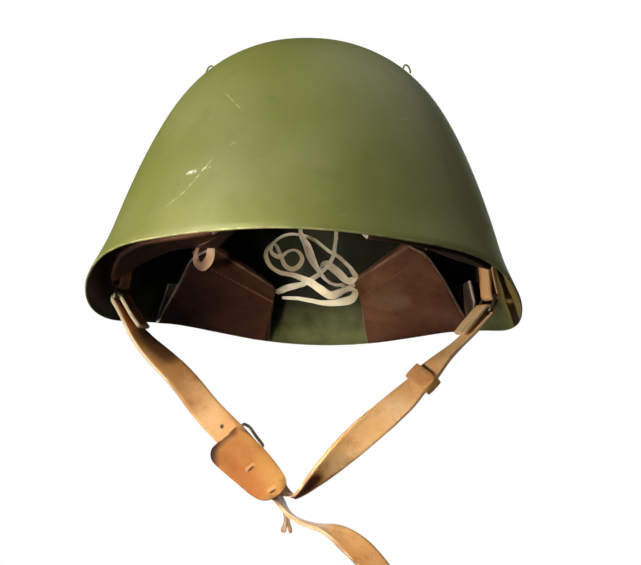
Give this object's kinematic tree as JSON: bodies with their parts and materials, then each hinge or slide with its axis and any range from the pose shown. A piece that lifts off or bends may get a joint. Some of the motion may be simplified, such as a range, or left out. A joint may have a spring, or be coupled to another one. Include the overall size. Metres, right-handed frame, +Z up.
{
  "type": "steel combat helmet with leather liner and chin strap",
  "caption": "Olive painted steel combat helmet with a flared rim, a laced leather liner inside and a buckled tan leather chin strap hanging below.",
  "frame": {"origin": "the crown seat, where the top of the wearer's head carries the drawn-in liner, in the middle plane of the shell", "axes": "+Z up through the crown of the shell, the front of the helmet faces -Y, +X is the right side of the picture"},
  "size_m": [0.2486, 0.2788, 0.3146],
  "materials": {
    "olive_paint": "semi-matt olive green paint, scratched",
    "liner_leather": "dull dark brown leather",
    "strap_leather": "smooth tan leather with pale cut edges",
    "bare_steel": "plain steel wire, a little dull",
    "cotton_lace": "flat cream cotton lace"
  },
  "bodies": {
    "root": {"buckle_frame": "bare_steel", "buckle_guard": "strap_leather", "buckle_pin": "bare_steel", "flap_front_left": "liner_leather", "flap_front_right": "liner_leather", "flap_rear_left": "liner_leather", "flap_rear_right": "liner_leather", "guard_thong": "strap_leather", "hanger_left": "strap_leather", "hanger_right": "strap_leather", "lace_bow": "cotton_lace", "liner_lace": "cotton_lace", "loop_left": "olive_paint", "loop_right": "olive_paint", "ring_left": "bare_steel", "ring_right": "bare_steel", "shell": "olive_paint", "strap_keeper": "strap_leather", "strap_long": "strap_leather", "strap_short": "strap_leather"}
  },
  "joints": []
}
